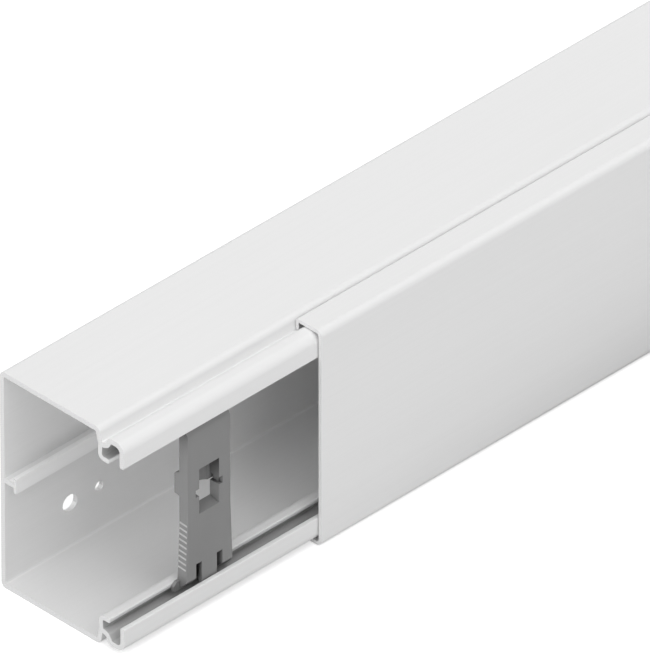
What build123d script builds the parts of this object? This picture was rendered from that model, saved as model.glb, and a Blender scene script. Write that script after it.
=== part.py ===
import os
from math import radians, sin

from build123d import *

# Wall trunking: an extruded base with a cover that snaps over its two lips and
# a moulded clip that spans the open front and holds the cables in.
# X runs along the trunking, -Y is the front, Z is up. Sizes are in millimetres.

# Lengths of the stock, and the trunking's overall section
base_length = 2000
cover_length = 2000
cover_drawn_back = 92.6
overall_height = 90
overall_depth = 61.3

# Walls, and the play between pieces
base_wall = 2.0
cover_wall = 1.4
hook_wall = 1.9
snap_play = 0.3
cover_inset = 0.2
clip_play = 0.3

# Base: corners, lips and the rib down the back
back_corner_radius = 2.4
shoulder_radius = 1.6
lip_channel = 5.1
hook_reach = 5.4
hook_radius = 2.8
hook_height = 12.8
flange_height = 11.7
lip_tip_radius = 0.5
neck_setback = 1.3
valley_setback = 0.3
valley_drop = 5.9
roof_run = 3.15
roof_rise = 1.45
crest_run = 1.6
crest_radius = 2.8
bend_radius = 1.5
rib_web = 2.0
rib_reach = 5.55
rib_flange = 1.2
rib_height = 6.0

# Fixing holes in the back, in pairs along two rows
fixing_row_height = 50
fixing_pitch = 250
fixing_first = 31
large_hole = 7.0
small_hole = 4.0
small_hole_offset = 14

# Cover: its front corners and the turned-in hooks
cover_corner_radius = 2.6
cover_hook_radius = 1.1

# Cable clip
clip_position = 32.8
clip_width = 20.25
clip_flare = 1.1
clip_flare_start = -8
clip_plate = 1.6
clip_side_wall = 1.8
clip_edge_radius = 0.9
top_setback = 6.5
bottom_setback = 4.1
hollow_setback = 7.3
window_width = 9.5
window_bottom = -5.25
window_top = 13.35
window_wall = 1.2
sill_rise = 1.2
slot_width = 2.7
slot_spacing = 9.9
slot_height = 9.8
slot_bridge = 1.2
foot_clearance = 9.7
foot_overhang = 2.6
foot_thickness = 1.2
foot_height = 3.8
foot_lip = 0.8
foot_chamfer = 0.5
foot_shoulder = 1.5
saddle_bottom = 2.65
saddle_top = 12.35
saddle_depth = 2.6
saddle_slope = 1.5
seat_wall = 0.8
seat_height = 7.0
notch_width = 12.8
notch_bottom = 2.2
notch_height = 3.0
grip_count = 9
grip_pitch = 2.25
grip_top = -8.2
grip_proud = 0.3
grip_thickness = 0.9

half_height = overall_height / 2
wall_face = overall_depth / 2
near_end = -(base_length + cover_drawn_back) / 2
cover_end = near_end + cover_drawn_back

# The sections are drawn on planes whose first axis is the depth out of the wall
# and whose second is the height above the middle of the trunking.
base_plane = Plane(origin=(near_end, wall_face, half_height), x_dir=(0, -1, 0), z_dir=(-1, 0, 0))
cover_plane = Plane(origin=(cover_end, wall_face, half_height), x_dir=(0, -1, 0), z_dir=(-1, 0, 0))

# Middle lines of the base's walls, upper half
side_line = half_height - base_wall / 2
flange_line = overall_depth - cover_wall - snap_play - base_wall / 2
crest_line = half_height - cover_inset - cover_wall - snap_play - base_wall / 2
hook_tip = flange_line - base_wall / 2 - lip_channel
hook_line = hook_tip - hook_reach + hook_wall / 2
foot_line = half_height - hook_height + hook_wall / 2
flange_edge = half_height - flange_height
valley =Vector(hook_line + valley_setback, side_line - valley_drop)
shoulder = Vector(valley.X - neck_setback, side_line)
roof_end = valley + Vector(roof_run, roof_rise)
crest_start = Vector(roof_end.X + crest_run, crest_line)

with BuildPart() as base:
    with BuildSketch(base_plane) as section:
        with BuildLine():
            FilletPolyline(
                (base_wall / 2, 0),
                (base_wall / 2, side_line),
                shoulder,
                valley,
                roof_end,
                crest_start,
                (flange_line, crest_line),
                (flange_line, flange_edge - base_wall / 2),
                radius=[
                    back_corner_radius - base_wall / 2,
                    shoulder_radius,
                    bend_radius,
                    bend_radius,
                    bend_radius,
                    crest_radius,
                ],
            )
            offset(amount=base_wall / 2)
        make_face()
        with BuildLine():
            FilletPolyline(
                valley,
                (hook_line, foot_line),
                (hook_tip + hook_wall / 2, foot_line),
                radius=hook_radius - hook_wall / 2,
            )
            offset(amount=hook_wall / 2)
        make_face()
        # The flange and the hook's foot are drawn a little long, and trimmed square
        with Locations((flange_line, flange_edge)):
            Rectangle(2 * base_wall, 2 * base_wall, align=(Align.CENTER, Align.MAX), mode=Mode.SUBTRACT)
        with Locations((hook_tip, foot_line)):
            Rectangle(2 * hook_wall, 2 * hook_wall, align=(Align.MIN, Align.CENTER), mode=Mode.SUBTRACT)
        flange_corners = section.vertices().group_by(lambda corner: abs(corner.Y - flange_edge))[0]
        foot_corners = section.vertices().group_by(lambda corner: abs(corner.X - hook_tip))[0]
        fillet(flange_corners + foot_corners, lip_tip_radius)
        rib_face = base_wall + rib_reach
        with Locations((base_wall / 2, 0)):
            Rectangle(rib_face - base_wall / 2, rib_web / 2, align=(Align.MIN, Align.MIN))
        with Locations((rib_face, 0)):
            Rectangle(rib_flange, rib_height / 2, align=(Align.MAX, Align.MIN))
        mirror(about=Plane.XZ)
    extrude(amount=-base_length)

    row_plane = Plane(origin=(near_end, wall_face, half_height), x_dir=(1, 0, 0), z_dir=(0, -1, 0))
    pair_count = int((base_length - fixing_first - small_hole_offset) // fixing_pitch) + 1
    with BuildSketch(row_plane):
        for pair in range(pair_count):
            along = fixing_first + pair * fixing_pitch
            for row in (-fixing_row_height / 2, fixing_row_height / 2):
                with Locations((along, row)):
                    Circle(large_hole / 2)
                with Locations((along + small_hole_offset, row)):
                    Circle(small_hole / 2)
    extrude(amount=base_wall, mode=Mode.SUBTRACT)

base.part.label = "trunking_base"

# The round tip of each cover hook sits in the valley behind the lip, clear of both its sides.
valley_neck = (shoulder - valley).normalized()
valley_roof = (roof_end - valley).normalized()
half_opening = radians(valley_neck.get_angle(valley_roof) / 2)
tip_distance = (base_wall / 2 + snap_play + cover_wall / 2) / sin(half_opening)
cover_tip = valley + (valley_neck + valley_roof).normalized() * tip_distance
cover_face_line = overall_depth - cover_wall / 2
cover_side_line = half_height - cover_inset - cover_wall / 2

with BuildPart() as cover:
    with BuildSketch(cover_plane):
        with BuildLine():
            FilletPolyline(
                (cover_face_line, 0),
                (cover_face_line, cover_side_line),
                (cover_tip.X, cover_side_line),
                cover_tip,
                radius=[cover_corner_radius - cover_wall / 2, cover_hook_radius - cover_wall / 2],
            )
            offset(amount=cover_wall / 2)
        make_face()
        mirror(about=Plane.XZ)
    extrude(amount=-cover_length)

cover.part.label = "cover"

# Cable clip, drawn on the plane of its back edges and built forward to its front face
clip_depth = lip_channel - 2 * clip_play
clip_back = hook_tip + clip_play
clip_center = near_end + clip_position + clip_width / 2
clip_plane = Plane(
    origin=(clip_center, wall_face - clip_back, half_height), x_dir=(1, 0, 0), z_dir=(0, -1, 0)
)
foot_plane = clip_plane.offset(foot_thickness)
plate_plane = clip_plane.offset(clip_depth - clip_plate)
side_plane = Plane(clip_plane.origin, x_dir=(0, 1, 0), z_dir=(1, 0, 0))
seat_plane = Plane(clip_plane.origin + Vector(0, 0, saddle_bottom), x_dir=(1, 0, 0), z_dir=(0, 0, 1))
half_width = clip_width / 2
foot_width = clip_width + 2 * (clip_flare + foot_overhang)
foot_half_height = half_height - foot_clearance
hollow_top = foot_half_height - hollow_setback
slot_top = slot_height - foot_half_height
hollow_bottom = slot_top + slot_bridge
slot_reach = slot_spacing + slot_width

with BuildPart() as clip:
    with BuildSketch(clip_plane):
        with BuildLine():
            Polyline(
                (0, foot_half_height),
                (half_width, foot_half_height),
                (half_width, clip_flare_start),
                (half_width + clip_flare, -foot_half_height),
                (0, -foot_half_height),
                close=True,
            )
        make_face()
        mirror(about=Plane.YZ)
    extrude(amount=clip_depth)
    front_face = clip.faces().sort_by(Axis.Y)[0]
    fillet(front_face.edges().filter_by(Axis.X, reverse=True), clip_edge_radius)

    # Both ends slope from the front face back to the feet
    with BuildSketch(side_plane):
        for end, front_edge in ((1, top_setback), (-1, bottom_setback)):
            with BuildLine():
                Polyline(
                    (-clip_depth, end * (foot_half_height - front_edge)),
                    (-foot_thickness, end * (foot_half_height - foot_lip)),
                    (-foot_thickness, end * foot_half_height),
                    (-clip_depth, end * foot_half_height),
                    close=True,
                )
            make_face()
    extrude(amount=foot_width / 2, both=True, mode=Mode.SUBTRACT)

    # Hollow between the side walls, open at the back
    with BuildSketch(clip_plane):
        with Locations((0, (hollow_top + hollow_bottom) / 2)):
            Rectangle(clip_width - 2 * clip_side_wall, hollow_top - hollow_bottom)
        with Locations((0, (window_top + window_bottom) / 2)):
            Rectangle(
                window_width + 2 * window_wall,
                window_top - window_bottom + 2 * window_wall,
                mode=Mode.SUBTRACT,
            )
    extrude(amount=clip_depth - clip_plate, mode=Mode.SUBTRACT)

    # Saddle behind the upper half of the window, its top sloping down to the back
    with BuildSketch(side_plane):
        with BuildLine():
            Polyline(
                (-clip_depth + clip_plate, saddle_top),
                (0, saddle_top),
                (saddle_depth, saddle_top - saddle_slope),
                (saddle_depth, saddle_bottom),
                (-clip_depth + clip_plate, saddle_bottom),
                close=True,
            )
        make_face()
    extrude(amount=half_width, both=True)

    # Window with its sloping sill, the round seat in the saddle, and a notch in each side
    with BuildSketch(side_plane):
        with BuildLine():
            Polyline(
                (-clip_depth, window_bottom),
                (0, window_bottom + sill_rise),
                (0, window_top),
                (-clip_depth, window_top),
                close=True,
            )
        make_face()
    extrude(amount=window_width / 2, both=True, mode=Mode.SUBTRACT)
    with BuildSketch(seat_plane):
        with Locations((0, saddle_depth - seat_wall - window_width / 2)):
            Circle(window_width / 2)
    extrude(amount=seat_height, mode=Mode.SUBTRACT)
    with BuildSketch(clip_plane):
        with Locations((0, notch_bottom)):
            Rectangle(notch_width, notch_height, align=(Align.CENTER, Align.MIN))
    extrude(amount=clip_depth, mode=Mode.SUBTRACT)

    # Finger grips across both edges
    with BuildSketch(clip_plane):
        for grip in range(grip_count):
            level = grip_top - grip * grip_pitch
            flare = clip_flare * (clip_flare_start - level) / (clip_flare_start + foot_half_height)
            for side in (-1, 1):
                with Locations((side * (half_width + flare + (grip_proud - clip_side_wall) / 2), level)):
                    Rectangle(grip_proud + clip_side_wall, grip_thickness)
    extrude(amount=clip_depth)

    # Feet: a plate across the back of each end, wider than the body, with sloping shoulders
    with BuildSketch(clip_plane) as feet:
        for end in (-1, 1):
            with Locations((0, end * (foot_half_height - foot_height / 2))):
                Rectangle(foot_width, foot_height)
        corners = feet.vertices().group_by(lambda corner: round(abs(corner.Y), 3))
        chamfer(corners[0], foot_shoulder)
        chamfer(corners[-1], foot_chamfer)
    extrude(amount=foot_thickness)

    # Snap tongue at the lower end: two slots, a gap behind it, and its tip down to the foot's edge
    with BuildSketch(foot_plane):
        with Locations((-slot_spacing / 2, slot_top), (slot_spacing / 2, slot_top)):
            Rectangle(slot_width, slot_height, align=(Align.CENTER, Align.MAX))
    extrude(amount=clip_depth - foot_thickness, mode=Mode.SUBTRACT)
    with BuildSketch(foot_plane):
        with Locations((0, slot_top)):
            Rectangle(slot_reach, slot_height, align=(Align.CENTER, Align.MAX))
    extrude(amount=clip_depth - foot_thickness - clip_plate, mode=Mode.SUBTRACT)
    with BuildSketch(plate_plane):
        with Locations((0, slot_top)):
            Rectangle(slot_spacing - slot_width, slot_height, align=(Align.CENTER, Align.MAX))
    extrude(amount=clip_plate)

clip.part.label = "cable_clip"

os.makedirs("parts", exist_ok=True)
for piece in (base.part, cover.part, clip.part):
    export_step(piece, f"parts/{piece.label}.step")
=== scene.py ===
import math

import bmesh
import bpy
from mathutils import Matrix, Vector


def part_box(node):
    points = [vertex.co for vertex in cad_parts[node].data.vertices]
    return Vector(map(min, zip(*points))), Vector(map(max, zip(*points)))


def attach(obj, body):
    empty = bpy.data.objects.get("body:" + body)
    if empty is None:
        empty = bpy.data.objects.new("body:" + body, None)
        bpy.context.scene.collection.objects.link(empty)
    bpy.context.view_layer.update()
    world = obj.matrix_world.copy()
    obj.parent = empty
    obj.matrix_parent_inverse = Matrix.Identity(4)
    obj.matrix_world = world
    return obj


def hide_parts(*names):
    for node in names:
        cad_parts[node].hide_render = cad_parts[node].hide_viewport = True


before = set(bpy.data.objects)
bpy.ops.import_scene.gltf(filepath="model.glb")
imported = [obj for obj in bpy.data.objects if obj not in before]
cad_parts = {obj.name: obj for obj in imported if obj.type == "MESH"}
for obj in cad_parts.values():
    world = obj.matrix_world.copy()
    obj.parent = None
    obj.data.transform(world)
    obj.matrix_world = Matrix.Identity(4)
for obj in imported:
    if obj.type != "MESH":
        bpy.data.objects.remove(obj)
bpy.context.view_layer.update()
mm = 0.001
print("frame loaded:", ", ".join(sorted(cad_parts)))


# Node steps, for materials and for geometry nodes

def step(tree, kind, inputs, output=0, **settings):
    # an input is a plain value, another node's output, or a list of outputs
    node = tree.nodes.new(kind)
    for key, value in settings.items():
        setattr(node, key, value)
    for key, value in inputs.items():
        for source in value if isinstance(value, list) else [value]:
            if isinstance(source, bpy.types.NodeSocket):
                tree.links.new(source, node.inputs[key])
            else:
                node.inputs[key].default_value = source
    return node.outputs[output]


def endWith(tree, kind, source):
    tree.links.new(source, tree.nodes.new(kind).inputs[0])


def number(tree, operation, first, second=0.0):
    return step(tree, "ShaderNodeMath", {0: first, 1: second}, operation=operation)


def product(tree, first, *others):
    for other in others:
        first = number(tree, "MULTIPLY", first, other)
    return first


def inverted(tree, value):
    return number(tree, "SUBTRACT", 1.0, value)


def vector(tree, x=0.0, y=0.0, z=0.0):
    return step(tree, "ShaderNodeCombineXYZ", {0: x, 1: y, 2: z})


def split(tree, source):
    parts = tree.nodes.new("ShaderNodeSeparateXYZ")
    tree.links.new(source, parts.inputs["Vector"])
    return parts.outputs


# Shared material steps

mostNoise = (0.3, 0.7)  # nearly all values of a noise are between these
midNoise = (0.35, 0.65)
recessRays = 10  # that look for surfaces near a point


def startMaterial(name):
    material = bpy.data.materials.new(name)
    material.use_nodes = True
    tree = material.node_tree
    return material, tree, step(tree, "ShaderNodeTexCoord", {}, "Object")


def emptyTree(owner):
    owner.use_nodes = True
    owner.node_tree.nodes.clear()
    return owner.node_tree


def paint(tree, colour, roughness, normal):
    shader = tree.nodes["Principled BSDF"]
    for socket, source in (("Base Color", colour), ("Roughness", roughness), ("Normal", normal)):
        tree.links.new(source, shader.inputs[socket])


def stretched(tree, where, scale, turn=(0, 0, 0)):
    return step(tree, "ShaderNodeMapping", {"Vector": where, "Scale": scale, "Rotation": turn})


def noiseOn(tree, where, scale, detail, roughness=0.5):
    inputs = {"Vector": where, "Scale": scale, "Detail": detail, "Roughness": roughness}
    return step(tree, "ShaderNodeTexNoise", inputs, "Fac")


def spread(tree, value, source, target=(0.0, 1.0), kind="LINEAR"):
    # takes a value from one range to another, and holds it at the ends
    ends = {"From Min": source[0], "From Max": source[1], "To Min": target[0], "To Max": target[1]}
    return step(tree, "ShaderNodeMapRange", {"Value": value, **ends}, "Result", interpolation_type=kind)


def tinted(tree, colour, factor):
    # a colour times a grey value that changes over the surface
    inputs = {"Factor": 1.0, 6: colour, 7: factor}
    return step(tree, "ShaderNodeMix", inputs, 2, data_type="RGBA", blend_type="MULTIPLY")


def raised(tree, height, distance, strength, under=None):
    inputs = {"Strength": strength, "Distance": distance, "Height": height}
    if under is not None:
        inputs["Normal"] = under
    return step(tree, "ShaderNodeBump", inputs, "Normal")


def facing(tree):
    return split(tree, step(tree, "ShaderNodeNewGeometry", {}, "True Normal"))


def paintedRecessShade(tree, reach, dark, light, ownOnly=False):
    # painted shade: narrow recesses, and gaps next to other parts unless only the piece's own shape counts,
    # are darkened in the colour, 1 in the open, down to dark deep inside
    settings = {"samples": recessRays, "only_local": ownOnly}
    seen = step(tree, "ShaderNodeAmbientOcclusion", {"Distance": reach}, "AO", **settings)
    return spread(tree, seen, light, (dark, 1.0), "SMOOTHSTEP")


# Camera and stage

cameraLook = {
    "azimuth": -45.0,
    "elevation": 35.264,  # the photo is an isometric view
    "viewHeight": 0.2215,  # metres that the long side of the frame covers
    "halfAngle": 0.634,  # degrees: a long lens, so lines that are parallel stay so
    "aimAlong": 0.1007,  # from the open end
    "aimOut": 0.055,  # out of the wall
    "aimUp": 0.08515,
    "clipStart": 0.1,
    "clipEnd": 10,  # times the distance
}


def direction(azimuth, elevation):
    azimuth, elevation = math.radians(azimuth), math.radians(elevation)
    flat = math.cos(elevation)
    return Vector((math.sin(azimuth) * flat, -math.cos(azimuth) * flat, math.sin(elevation)))


def placeCamera():
    low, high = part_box("trunking_base")
    aim = Vector((low.x + cameraLook["aimAlong"], high.y - cameraLook["aimOut"], cameraLook["aimUp"]))
    back = direction(cameraLook["azimuth"], cameraLook["elevation"])
    tangent = math.tan(math.radians(cameraLook["halfAngle"]))
    distance = cameraLook["viewHeight"] / 2 / tangent
    lens = bpy.data.cameras.new("photoCamera")
    lens.lens = lens.sensor_width / 2 / tangent
    lens.clip_start = cameraLook["clipStart"]
    lens.clip_end = distance * cameraLook["clipEnd"]
    camera = bpy.data.objects.new("photoCamera", lens)
    camera.location = aim + back * distance
    camera.rotation_mode = "QUATERNION"
    camera.rotation_quaternion = (-back).to_track_quat("-Z", "Y")
    bpy.context.collection.objects.link(camera)
    bpy.context.scene.camera = camera
    print("camera placed", round(distance, 2), "m away")


stageLook = {
    "floorSize": 300.0,
    "floorColour": (0.82, 0.82, 0.82, 1),
    "floorLift": 0.45,  # white that the camera sees on top of the lit floor
    # a dark strip on the floor before the front, which only the bounced light sees, as a flag in a studio
    "flagDark": (0.12, 0.5),  # beside the open end, and beside the covered part
    "flagAlong": (0.08, 0.26),  # from the open end
    "flagDepth": 0.038,
    "flagBlend": 0.004,
    "worldColour": (1.0, 1.0, 1.0, 1),
    "worldLight": 0.4,
    "backdrop": (1, 1, 1, 1),  # what the camera and the reflections see
    "lampSoftness": 50.0,  # degrees across
    # azimuth, elevation and strength of each lamp
    "lamps": {"endLamp": (-80.0, 20.0, 1.48), "frontLamp": (-20.0, 50.0, 0.69), "topLamp": (0.0, 88.0, 0.84)},
}


def makeFloor():
    half = stageLook["floorSize"] / 2
    corners = [(-half, -half, 0), (half, -half, 0), (half, half, 0), (-half, half, 0)]
    mesh = bpy.data.meshes.new("floor")
    mesh.from_pydata(corners, [], [(0, 1, 2, 3)])
    floor = bpy.data.objects.new("floor", mesh)
    bpy.context.collection.objects.link(floor)
    material = bpy.data.materials.new("paleFloor")
    tree = emptyTree(material)
    place = split(tree, step(tree, "ShaderNodeTexCoord", {}, "Object"))
    seen = step(tree, "ShaderNodeLightPath", {}, "Is Camera Ray")
    low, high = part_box("trunking_base")
    start, end = (low.x + reach for reach in stageLook["flagAlong"])
    dark = spread(tree, place["X"], (start, end), stageLook["flagDark"])
    edge, blend = low.y - stageLook["flagDepth"], stageLook["flagBlend"]
    strip = spread(tree, place["Y"], (edge - blend, edge + blend))
    tone = inverted(tree, product(tree, dark, strip, inverted(tree, seen)))
    diffuse = step(tree, "ShaderNodeBsdfDiffuse", {"Color": tinted(tree, stageLook["floorColour"], tone)})
    lift = step(tree, "ShaderNodeEmission", {"Strength": product(tree, seen, stageLook["floorLift"])})
    endWith(tree, "ShaderNodeOutputMaterial", step(tree, "ShaderNodeAddShader", {0: diffuse, 1: lift}))
    mesh.materials.append(material)


def lightStage():
    scene = bpy.context.scene
    scene.view_settings.view_transform = "Standard"
    scene.world = bpy.data.worlds.new("studio")
    tree = emptyTree(scene.world)
    path = tree.nodes.new("ShaderNodeLightPath").outputs
    seen = number(tree, "MAXIMUM", path["Is Camera Ray"], path["Is Glossy Ray"])
    even = {"Color": stageLook["worldColour"], "Strength": stageLook["worldLight"]}
    light = step(tree, "ShaderNodeBackground", even)
    white = step(tree, "ShaderNodeBackground", {"Color": stageLook["backdrop"]})
    endWith(tree, "ShaderNodeOutputWorld", step(tree, "ShaderNodeMixShader", {0: seen, 1: light, 2: white}))
    for name, (azimuth, elevation, strength) in stageLook["lamps"].items():
        lamp = bpy.data.lights.new(name, "SUN")
        lamp.energy = strength
        lamp.angle = math.radians(stageLook["lampSoftness"])
        holder = bpy.data.objects.new(name, lamp)
        holder.rotation_mode = "QUATERNION"
        holder.rotation_quaternion = (-direction(azimuth, elevation)).to_track_quat("-Z", "Y")
        bpy.context.collection.objects.link(holder)
    print("stage lit by", len(stageLook["lamps"]), "soft lamps")


placeCamera()
makeFloor()
lightStage()


# Extruded PVC: fine lines from the die along the length, and a soft unevenness from cooling

pvcLook = {
    "colour": (0.82, 0.82, 0.82, 1),
    "roughness": (0.36, 0.46),
    "baseShift": (0.31, 0.07, 0.113),  # each extrusion has its own part of the noise
    "coverShift": (0.83, 0.21, 0.457),
    "dieLineScale": 900.0,  # lines per metre across the section
    "dieLineDetail": 4.0,
    "dieLineRough": 0.65,
    "dieLineStretch": 0.002,  # how little they change along the length
    "dieLineTone": 0.02,
    "dieLineDepth": 0.012 * mm,
    "dieLineBump": 0.7,
    "cloudScale": 14.0,
    "cloudDetail": 2.0,
    "cloudStretch": 0.35,
    "cloudTone": 0.012,
    "rippleScale": 190.0,
    "rippleDetail": 1.0,
    "rippleStretch": 0.3,
    "rippleDepth": 0.02 * mm,
    "rippleBump": 0.6,
    # painted shade: how far and how dark the lips' recesses are darkened in the colour
    "recessReach": 9 * mm,
    "recessDark": 0.7,
    "recessLight": (0.2, 0.5),  # shares of open surroundings between which the shade ends
    "lipsFrom": 47 * mm,  # out of the wall: only the lips' channels are shaded
    "grooveFrom": 37 * mm,  # from the middle: the outer grooves stay unshaded
    "grooveFacing": (0.05, 0.15),
    "blend": 1 * mm,
    # painted shade: the inner faces of the lips' channels are darkened in the colour
    "channelShade": 0.4,
    "channelOut": 54 * mm,
    "channelUp": 37 * mm,
    "channelBlend": 0.8 * mm,
    "channelReach": (5.4 * mm, 5.6 * mm),  # from the channel's middle line
    "tongueEdge": (33.8 * mm, 34.1 * mm),  # nearer the middle is only the tongue's bright edge
    # painted highlights: the inner corner and the rib on the back are painted paler
    "cornerPaintedLight": 0.06,
    "cornerReach": 0.9 * mm,
    "ribPaintedLight": 0.14,
    "ribDepth": (4 * mm, 9 * mm),
    "ribHeight": 3.6 * mm,
    "ribBlend": 0.1 * mm,
    "wall": 2.0 * mm,
}


# painted shade: the faces inside the lips' channels are darkened by a set share
def channelShade(tree, place, facingOut, away, level, clear):
    # a face belongs to the channel when it looks towards the channel's middle line
    out = number(tree, "SUBTRACT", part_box("trunking_base")[1].y - pvcLook["channelOut"], place["Y"])
    up = number(tree, "SUBTRACT", pvcLook["channelUp"], level)
    towards = number(tree, "ADD", product(tree, out, facingOut), product(tree, up, away))
    looks = spread(tree, towards, (0.0, pvcLook["channelBlend"]))
    looks = product(tree, looks, clear, spread(tree, level, pvcLook["tongueEdge"]))
    for distance in (out, up):
        size = number(tree, "ABSOLUTE", distance)
        looks = product(tree, looks, spread(tree, size, pvcLook["channelReach"], (1.0, 0.0)))
    return spread(tree, looks, (0.0, 1.0), (1.0, 1 - pvcLook["channelShade"]))


# painted shade on the lips: darkened in recesses, near other parts and inside the channels; the outer grooves
# are left out
def lipShade(tree, place):
    low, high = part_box("trunking_base")
    edge, blend = high.y - pvcLook["lipsFrom"], pvcLook["blend"]
    atLips = spread(tree, place["Y"], (edge - blend, edge + blend), (1.0, 0.0))
    normal = facing(tree)
    rise = number(tree, "SUBTRACT", place["Z"], (low.z + high.z) / 2)
    level = number(tree, "ABSOLUTE", rise)
    away = product(tree, normal["Z"], number(tree, "SIGN", rise))
    outward = spread(tree, away, pvcLook["grooveFacing"])
    start = pvcLook["grooveFrom"]
    clear = inverted(tree, product(tree, outward, spread(tree, level, (start, start + blend))))
    deep = paintedRecessShade(tree, pvcLook["recessReach"], pvcLook["recessDark"], pvcLook["recessLight"])
    less = product(tree, inverted(tree, deep), product(tree, atLips, clear))
    channel = channelShade(tree, place, normal["Y"], away, level, clear)
    return product(tree, inverted(tree, less), channel)


def distanceFrom(tree, coordinate, level):
    return number(tree, "ABSOLUTE", number(tree, "SUBTRACT", coordinate, level))


# painted highlight: a pale line along the inner corner of the floor and the back
def cornerPaintedLight(tree, place):
    low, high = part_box("trunking_base")
    out = distanceFrom(tree, place["Y"], high.y - pvcLook["wall"])
    up = distanceFrom(tree, place["Z"], low.z + pvcLook["wall"])
    reach = pvcLook["cornerReach"]
    return spread(tree, number(tree, "MAXIMUM", out, up), (reach / 2, reach), (pvcLook["cornerPaintedLight"], 0.0))


# painted highlight: the front of the rib on the back is painted paler
def ribPaintedLight(tree, place):
    low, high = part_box("trunking_base")
    inner, outer = pvcLook["ribDepth"]
    half, height, blend = (outer - inner) / 2, pvcLook["ribHeight"], pvcLook["ribBlend"]
    out = distanceFrom(tree, place["Y"], high.y - (inner + outer) / 2)
    up = distanceFrom(tree, place["Z"], (low.z + high.z) / 2)
    across = spread(tree, out, (half, half + blend), (1.0, 0.0))
    return product(tree, across, spread(tree, up, (height, height + blend), (pvcLook["ribPaintedLight"], 0.0)))


def pvcNoise(tree, where, name, roughness=0.5):
    along = stretched(tree, where, (pvcLook[name + "Stretch"], 1, 1))
    return noiseOn(tree, along, pvcLook[name + "Scale"], pvcLook[name + "Detail"], roughness)


def extrudedPvc(name, shift):
    material, tree, where = startMaterial(name)
    place = split(tree, where)
    # painted highlights and painted shade together make one tone
    paintedLight = number(tree, "ADD", cornerPaintedLight(tree, place), ribPaintedLight(tree, place))
    shade = number(tree, "ADD", lipShade(tree, place), paintedLight)
    where = step(tree, "ShaderNodeVectorMath", {0: where, 1: shift}, operation="ADD")
    lines = pvcNoise(tree, where, "dieLine", pvcLook["dieLineRough"])
    cloud = pvcNoise(tree, where, "cloud")
    ripple = pvcNoise(tree, where, "ripple")
    lineTone = spread(tree, lines, mostNoise, (1 - pvcLook["dieLineTone"], 1.0))
    cloudTone = spread(tree, cloud, mostNoise, (1 - pvcLook["cloudTone"], 1.0))
    colour = tinted(tree, pvcLook["colour"], product(tree, lineTone, cloudTone, shade))
    soft = raised(tree, ripple, pvcLook["rippleDepth"], pvcLook["rippleBump"])
    normal = raised(tree, lines, pvcLook["dieLineDepth"], pvcLook["dieLineBump"], soft)
    paint(tree, colour, spread(tree, lines, mostNoise, pvcLook["roughness"]), normal)
    return material


# Sawn and punched PVC: blade marks across the cut, duller than the skin

cutLook = {
    "colour": (0.7, 0.7, 0.7, 1),
    "punchedColour": (0.93, 0.93, 0.93, 1),  # punching whitens the plastic
    "roughness": (0.5, 0.66),
    "markScale": 420.0,  # saw marks per metre, about
    "markWaver": 2.5,
    "markDetail": 3.0,
    "markDetailScale": 1.4,
    "markTilt": 24.0,
    "markDepth": 0.03 * mm,
    "markBump": 0.7,
    "grainScale": 2600.0,
    "grainDetail": 3.0,
    "grainRough": 0.6,
    "grainDepth": 0.015 * mm,
    "grainBump": 0.8,
    "toneFrom": (0.1, 0.6),
    "toneRange": 0.05,
}


def cutPvc(name, colour):
    material, tree, where = startMaterial(name)
    saw = {
        "Vector": stretched(tree, where, (1, 1, 1), (math.radians(cutLook["markTilt"]), 0, 0)),
        "Scale": cutLook["markScale"],
        "Distortion": cutLook["markWaver"],
        "Detail": cutLook["markDetail"],
        "Detail Scale": cutLook["markDetailScale"],
    }
    marks = step(tree, "ShaderNodeTexWave", saw, "Fac", wave_type="BANDS", bands_direction="Z")
    grain = noiseOn(tree, where, cutLook["grainScale"], cutLook["grainDetail"], cutLook["grainRough"])
    tone = spread(tree, product(tree, marks, grain), cutLook["toneFrom"], (1 - cutLook["toneRange"], 1.0))
    fine = raised(tree, grain, cutLook["grainDepth"], cutLook["grainBump"])
    normal = raised(tree, marks, cutLook["markDepth"], cutLook["markBump"], fine)
    paint(tree, tinted(tree, colour, tone), spread(tree, grain, midNoise, cutLook["roughness"]), normal)
    return material


# Pieces: each CAD solid is taken over, and its sawn and moulded edges get their small roundings

edgeLook = {
    "sharpFrom": 35,  # degrees between two faces from which their edge is rounded
    "segments": 2,
    "smoothTo": 40,  # degrees up to which the shading runs on over an edge
    "flatWeight": 80,  # how much the large faces steer the shading, 50 is even
    "flatTo": 0.4,  # degrees up to which neighbouring faces count as one
}


def solidOf(node, weld, flatten=True):
    shape = bmesh.new()
    shape.from_mesh(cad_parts[node].data)
    bmesh.ops.remove_doubles(shape, verts=shape.verts, dist=weld)
    bmesh.ops.dissolve_degenerate(shape, dist=weld, edges=shape.edges)
    if flatten:
        limit = math.radians(edgeLook["flatTo"])
        bmesh.ops.dissolve_limit(shape, angle_limit=limit, verts=shape.verts, edges=shape.edges)
    bmesh.ops.recalc_face_normals(shape, faces=shape.faces)
    return shape


def roundEdges(shape, edges, width, cutFaces=-1):
    bmesh.ops.bevel(
        shape,
        geom=edges,
        offset=width,
        offset_type="OFFSET",
        segments=edgeLook["segments"],
        profile=0.5,
        affect="EDGES",
        clamp_overlap=True,
        material=cutFaces,
    )


def sharpEdges(shape):
    limit = math.radians(edgeLook["sharpFrom"])
    return [edge for edge in shape.edges if len(edge.link_faces) == 2 and edge.calc_face_angle() > limit]


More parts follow.
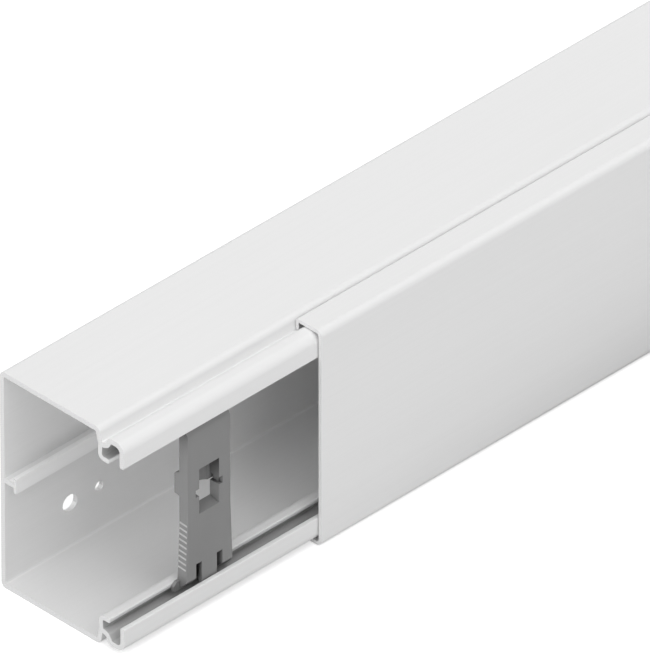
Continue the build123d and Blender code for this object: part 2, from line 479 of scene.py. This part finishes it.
def finishPiece(shape, name, body, nodes, materials):
    mesh = bpy.data.meshes.new(name)
    shape.to_mesh(mesh)
    shape.free()
    for material in materials:
        mesh.materials.append(material)
    mesh.shade_smooth()
    mesh.set_sharp_from_angle(angle=math.radians(edgeLook["smoothTo"]))
    draft = bpy.data.objects.new(name, mesh)
    bpy.context.collection.objects.link(draft)
    even = draft.modifiers.new("evenNormals", "WEIGHTED_NORMAL")
    even.keep_sharp = True
    even.weight = edgeLook["flatWeight"]
    plain = bpy.data.meshes.new_from_object(draft.evaluated_get(bpy.context.evaluated_depsgraph_get()))
    draft.modifiers.clear()
    draft.data = plain
    plain.name = name
    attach(draft, body)
    if nodes:
        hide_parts(*nodes)
    print(name, "made,", len(plain.polygons), "faces")
    return draft


extrusionLook = {
    "weld": 0.09 * mm,
    "sawnEdge": 0.16 * mm,  # rounding that the deburring knife leaves
    "holeEdge": 0.12 * mm,
    "holeDepth": 2.1 * mm,  # the walls of the holes lie within this of the back
    "endMargin": 5 * mm,  # and none is nearer an end than this
    "longFace": 0.2,  # a face with a longer edge is no part of a hole
    "endOn": 0.9,  # share of a normal that points along the length on a sawn face
    "acrossWall": 0.3,  # share that points through the back, less than this inside a hole
}


def makeExtrusion(node, name, body, skins):
    dieSkin, sawnSkin, punchedSkin = range(3)  # the order of the skins
    shape = solidOf(node, extrusionLook["weld"])
    low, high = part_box(node)
    near = 0.01 * mm

    def betweenEnds(x):
        return low.x + extrusionLook["endMargin"] < x < high.x - extrusionLook["endMargin"]

    def atEnd(edge):
        first, second = (vert.co.x for vert in edge.verts)
        return min(abs(first - low.x), abs(first - high.x)) < near and abs(first - second) < near

    for face in shape.faces:
        centre = face.calc_center_median()
        inBack = centre.y > high.y - extrusionLook["holeDepth"] and betweenEnds(centre.x)
        short = max(edge.calc_length() for edge in face.edges) <= extrusionLook["longFace"]
        inHole = inBack and short and abs(face.normal.y) < extrusionLook["acrossWall"]
        endOn = abs(face.normal.x) > extrusionLook["endOn"]
        face.material_index = sawnSkin if endOn else punchedSkin if inHole else dieSkin
    sawn = [edge for edge in sharpEdges(shape) if atEnd(edge)]
    roundEdges(shape, sawn, extrusionLook["sawnEdge"], sawnSkin)
    punched = [edge for edge in sharpEdges(shape) if all(betweenEnds(vert.co.x) for vert in edge.verts)]
    if punched:
        roundEdges(shape, punched, extrusionLook["holeEdge"], dieSkin)
    return finishPiece(shape, name, body, [node], skins)


basePvc = extrudedPvc("basePvc", pvcLook["baseShift"])
coverPvc = extrudedPvc("coverPvc", pvcLook["coverShift"])
sawnPvc = cutPvc("sawnPvc", cutLook["colour"])
punchedPvc = cutPvc("punchedPvc", cutLook["punchedColour"])
baseSkins = [basePvc, sawnPvc, punchedPvc]
baseExtrusion = makeExtrusion("trunking_base", "baseExtrusion", "base", baseSkins)
coverExtrusion = makeExtrusion("cover", "coverExtrusion", "cover", [coverPvc, sawnPvc])


# Moulded clip: spark-eroded grain, faint flow marks, drafted sides and rounded edges

clipLook = {
    "colour": (0.238, 0.238, 0.238, 1),
    "roughness": (0.42, 0.56),
    "grainScale": 4200.0,
    "grainDetail": 2.0,
    "grainRough": 0.6,
    "grainDepth": 0.02 * mm,
    "grainBump": 0.6,
    "flowScale": 55.0,
    "flowDetail": 3.0,
    "flowStretch": 0.25,
    "flowTone": 0.09,
    # painted shade in the clip's recesses and on its sides under the lips
    "recessReach": 4.5 * mm,
    "recessDark": 0.1,
    "recessLight": (0.18, 0.62),  # shares of open surroundings between which the shade ends
    "sideReach": 12 * mm,  # how far the lips shade the clip's sides
    "sideDark": 0.1,
    "sideLight": (0.68, 1.0),
    "sideFacing": (0.6, 0.9),
    "upperLevels": (45 * mm, 60 * mm),  # above the floor, where the upper lip's shade begins and is full
    "footLevels": (13 * mm, 17 * mm),
    "footShade": 0.3,  # the same painted shade for the foot in the lower lip, evenly
    "halfWidth": 10.125 * mm,
    "depth": 4.5 * mm,
    "flareStart": -8 * mm,  # the sides spread below this level, counted from the clip's middle
    "flareSlope": 1.1 / 27.3,
    "sideTaper": 0.07,  # mould draft of the sides
    "sideLength": 31 * mm,  # up and down from the middle
    "cornerRadius": 0.9 * mm,  # of the front corners that are drawn square before the edges are rounded
    "frontBand": 1.5 * mm,  # the front's vertices beside the sides, which give the front's ends
    "near": 0.04 * mm,  # vertices within this of a surface count as on it
    "edge": 0.2 * mm,
    "weld": 0.02 * mm,
    "squareWeld": 0.03 * mm,
    "smallestEdge": 0.01 * mm,
    "squareFlatTo": 0.6,  # degrees up to which neighbouring faces count as one
    # thin webs that close the window's side notches
    "webThickness": 0.5 * mm,
    "webSide": 5.9 * mm,  # from the middle line
    "webDepth": (1.5 * mm, 4.4 * mm),  # behind the front
    "webLevel": (1.7 * mm, 5.9 * mm),  # above the clip's middle
}


def mouldedPlastic(name, colour):
    material, tree, where = startMaterial(name)
    grain = noiseOn(tree, where, clipLook["grainScale"], clipLook["grainDetail"], clipLook["grainRough"])
    along = stretched(tree, where, (1, 1, clipLook["flowStretch"]))
    flow = noiseOn(tree, along, clipLook["flowScale"], clipLook["flowDetail"])
    tone = spread(tree, flow, mostNoise, (1 - clipLook["flowTone"], 1.0))
    near = paintedRecessShade(tree, clipLook["recessReach"], clipLook["recessDark"], clipLook["recessLight"], True)
    # painted shade: the lips lie over the ends of the sides, which are deeper than the front, so the sides
    # are darkened towards the upper lip and evenly at the foot
    sideways = spread(tree, number(tree, "ABSOLUTE", facing(tree)["X"]), clipLook["sideFacing"])
    level = split(tree, where)["Z"]
    upper = spread(tree, level, clipLook["upperLevels"])
    foot = spread(tree, level, clipLook["footLevels"], (clipLook["footShade"], 0.0))
    far = paintedRecessShade(tree, clipLook["sideReach"], clipLook["sideDark"], clipLook["sideLight"])
    lips = number(tree, "ADD", product(tree, inverted(tree, far), upper), foot)
    tone = product(tree, tone, near, inverted(tree, product(tree, lips, sideways)))
    normal = raised(tree, grain, clipLook["grainDepth"], clipLook["grainBump"])
    paint(tree, tinted(tree, colour, tone), spread(tree, grain, midNoise, clipLook["roughness"]), normal)
    return material


def clipSide(level):
    return clipLook["halfWidth"] + clipLook["flareSlope"] * max(0, clipLook["flareStart"] - level)


def squareSides(shape):
    # plain drafted sides and square front corners: the ribs and the roundings are made on them afterwards
    low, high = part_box("cable_clip")
    centre, middle = (low.x + high.x) / 2, (low.z + high.z) / 2
    radius, near, band = clipLook["cornerRadius"], clipLook["near"], clipLook["frontBand"]

    def inward(vert):
        return clipSide(vert.co.z - middle) - abs(vert.co.x - centre)

    front = [vert for vert in shape.verts if vert.co.y - low.y < near and inward(vert) < band]
    frontTop = max(vert.co.z for vert in front)
    frontBottom = min(vert.co.z for vert in front)
    corner, sides = [], []
    for vert in shape.verts:
        inside, back = inward(vert), vert.co.y - low.y
        onArc = abs(math.hypot(radius - inside, radius - back) - radius) < near
        if max(inside, back) < radius + near and min(inside, back) > -near and onArc:
            corner.append(vert)
        elif (inside < -near and abs(vert.co.z - middle) < clipLook["sideLength"]) or abs(inside) < near:
            sides.append(vert)
    for vert in corner:
        vert.co.z = min(max(vert.co.z, frontBottom), frontTop)
        vert.co.y = low.y
    for vert in corner + sides:
        reach = clipSide(vert.co.z - middle) - clipLook["sideTaper"] * (vert.co.y - low.y)
        vert.co.x = centre + math.copysign(reach, vert.co.x - centre)
    bmesh.ops.remove_doubles(shape, verts=shape.verts, dist=clipLook["squareWeld"])
    bmesh.ops.dissolve_degenerate(shape, dist=clipLook["smallestEdge"], edges=shape.edges)
    limit = math.radians(clipLook["squareFlatTo"])
    bmesh.ops.dissolve_limit(shape, angle_limit=limit, verts=shape.verts, edges=shape.edges)
    bmesh.ops.recalc_face_normals(shape, faces=shape.faces)


def addWebs(shape):
    low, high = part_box("cable_clip")
    centre, middle = (low.x + high.x) / 2, (low.z + high.z) / 2
    front, back = clipLook["webDepth"]
    bottom, top = clipLook["webLevel"]
    for side in (-1, 1):
        made = bmesh.ops.create_cube(shape, size=1.0)["verts"]
        for vert in made:
            across, deep, up = (value + 0.5 for value in vert.co)
            vert.co.x = centre + side * (clipLook["webSide"] + across * clipLook["webThickness"])
            vert.co.y = low.y + front + (back - front) * deep
            vert.co.z = middle + bottom + (top - bottom) * up
        if side < 0:
            bmesh.ops.reverse_faces(shape, faces=list({face for vert in made for face in vert.link_faces}))


def makeClip():
    shape = solidOf("cable_clip", clipLook["weld"], False)
    squareSides(shape)
    roundEdges(shape, sharpEdges(shape), clipLook["edge"])
    addWebs(shape)
    return finishPiece(shape, "mouldedClip", "clip", ["cable_clip"], [clipPlastic])


clipPlastic = mouldedPlastic("clipPlastic", clipLook["colour"])
mouldedClip = makeClip()


# Repeated parts are made by geometry nodes

quarterTurn = math.radians(90)


def startTree(name, sizes):
    tree = bpy.data.node_groups.new(name, "GeometryNodeTree")
    kinds = {int: "NodeSocketInt", float: "NodeSocketFloat", tuple: "NodeSocketVector"}
    for label, value in sizes.items():
        tree.interface.new_socket(name=label, in_out="INPUT", socket_type=kinds[type(value)])
    tree.interface.new_socket(name="Geometry", in_out="OUTPUT", socket_type="NodeSocketGeometry")
    return tree, tree.nodes.new("NodeGroupInput").outputs


def moved(tree, shape, **parts):
    return step(tree, "GeometryNodeTransform", {"Geometry": shape, **parts})


def copied(tree, points, shape):
    return step(tree, "GeometryNodeInstanceOnPoints", {"Points": points, "Instance": shape})


def joined(tree, shapes):
    return step(tree, "GeometryNodeJoinGeometry", {"Geometry": shapes})


def realized(tree, shape):
    return step(tree, "GeometryNodeRealizeInstances", {"Geometry": shape})


def circle(tree, sides, radius):
    return step(tree, "GeometryNodeCurvePrimitiveCircle", {"Resolution": sides, "Radius": radius})


def growPiece(tree, shape, name, sizes, body, material):
    whole = {"Geometry": realized(tree, shape), "Material": material}
    endWith(tree, "NodeGroupOutput", step(tree, "GeometryNodeSetMaterial", whole))
    holder = bpy.data.objects.new(name, bpy.data.meshes.new(name + "Seed"))
    bpy.context.collection.objects.link(holder)
    grown = holder.modifiers.new(name, "NODES")
    grown.node_group = tree
    for item in tree.interface.items_tree:
        if item.in_out == "INPUT":
            grown[item.identifier] = sizes[item.name]
    plain = bpy.data.meshes.new_from_object(holder.evaluated_get(bpy.context.evaluated_depsgraph_get()))
    bpy.data.objects.remove(holder)
    shape = bmesh.new()
    shape.from_mesh(plain)
    bmesh.ops.recalc_face_normals(shape, faces=shape.faces)
    return finishPiece(shape, name, body, [], [material])


# Ribs that give a grip on the clip's sides, in a paler plastic that paints a highlight on them

ribLook = {
    # painted highlight: the ribs are paler than the clip
    "colour": (0.5, 0.5, 0.5, 1),
    "count": 9,
    "pitch": 2.25 * mm,
    "firstLevel": -8.2 * mm,  # above the clip's middle
    "height": 0.74 * mm,
    "proud": 0.22 * mm,
    "setback": 0.4 * mm,  # from the front face
    "sides": 14,
}


def makeRibs():
    low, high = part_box("cable_clip")
    sizes = {
        "Rib count": ribLook["count"],
        "Pitch": ribLook["pitch"],
        "First level": ribLook["firstLevel"],
        "Proud": ribLook["proud"],
        "Rib height": ribLook["height"],
        "Rib length": clipLook["depth"] - ribLook["setback"],
        "Setback": ribLook["setback"],
        "Half width": clipLook["halfWidth"],
        "Flare start": clipLook["flareStart"],
        "Flare slope": clipLook["flareSlope"],
        "Taper": clipLook["sideTaper"],
        "Place": ((low.x + high.x) / 2, low.y, (low.z + high.z) / 2),
    }
    tree, given = startTree("gripRibs", sizes)
    turn = number(tree, "ARCTANGENT", given["Taper"])
    halfHeight = product(tree, given["Rib height"], 0.5)
    middle = number(tree, "ADD", given["Setback"], product(tree, given["Rib length"], 0.5))
    inset = product(tree, middle, given["Taper"], -1.0)
    bar = {"Vertices": ribLook["sides"], "Side Segments": 1, "Radius": 1.0, "Depth": 1.0}
    rib = moved(
        tree,
        step(tree, "GeometryNodeMeshCylinder", bar),
        Scale=vector(tree, given["Proud"], halfHeight, given["Rib length"]),
        Rotation=vector(tree, quarterTurn, 0.0, turn),
        Translation=vector(tree, inset, middle, 0.0),
    )
    drop = product(tree, step(tree, "GeometryNodeInputIndex", {}), given["Pitch"])
    level = number(tree, "SUBTRACT", given["First level"], drop)
    below = number(tree, "MAXIMUM", number(tree, "SUBTRACT", given["Flare start"], level))
    side = number(tree, "ADD", given["Half width"], product(tree, below, given["Flare slope"]))
    line = step(tree, "GeometryNodeMeshLine", {"Count": given["Rib count"]})
    placed = {"Geometry": line, "Position": vector(tree, side, 0.0, level)}
    oneSide = realized(tree, copied(tree, step(tree, "GeometryNodeSetPosition", placed), rib))
    mirrored = moved(tree, oneSide, Scale=vector(tree, -1.0, 1.0, 1.0))
    both = joined(tree, [oneSide, step(tree, "GeometryNodeFlipFaces", {"Mesh": mirrored})])
    ribs = moved(tree, both, Translation=given["Place"])
    return growPiece(tree, ribs, "gripRibs", sizes, "clip", ribHighlightPlastic)


ribHighlightPlastic = mouldedPlastic("ribHighlightPlastic", ribLook["colour"])
gripRibs = makeRibs()


# Burrs that the punch pushed up round the fixing holes, inside the trunking

burrLook = {
    "pairs": 8,
    "pitch": 250 * mm,
    "first": 31 * mm,
    "rowHeight": 25 * mm,
    "largeRadius": 3.5 * mm,
    "smallRadius": 2.0 * mm,
    "smallOffset": 14 * mm,
    "width": 0.2 * mm,
    "ringSides": 36,
    "sectionSides": 8,
}


def makeBurrs():
    low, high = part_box("trunking_base")
    sizes = {
        "Pairs": burrLook["pairs"],
        "Pitch": burrLook["pitch"],
        "Row height": burrLook["rowHeight"],
        "Large radius": burrLook["largeRadius"],
        "Small radius": burrLook["smallRadius"],
        "Small offset": burrLook["smallOffset"],
        "Burr radius": burrLook["width"] / 2,
        "First": (low.x + burrLook["first"], high.y - pvcLook["wall"], (low.z + high.z) / 2),
    }
    tree, given = startTree("punchBurrs", sizes)
    spaced = {"Count": given["Pairs"], "Offset": vector(tree, given["Pitch"])}
    line = step(tree, "GeometryNodeMeshLine", spaced)
    heights = (given["Row height"], product(tree, given["Row height"], -1.0))
    points = joined(tree, [moved(tree, line, Translation=vector(tree, z=height)) for height in heights])
    section = circle(tree, burrLook["sectionSides"], given["Burr radius"])
    sets = []
    for radius, shift in ((given["Large radius"], 0.0), (given["Small radius"], given["Small offset"])):
        hole = circle(tree, burrLook["ringSides"], radius)
        ring = step(tree, "GeometryNodeCurveToMesh", {"Curve": hole, "Profile Curve": section})
        upright = moved(tree, ring, Rotation=vector(tree, quarterTurn), Translation=vector(tree, shift))
        sets.append(copied(tree, points, upright))
    rings = moved(tree, joined(tree, sets), Translation=given["First"])
    return growPiece(tree, rings, "punchBurrs", sizes, "base", basePvc)


punchBurrs = makeBurrs()
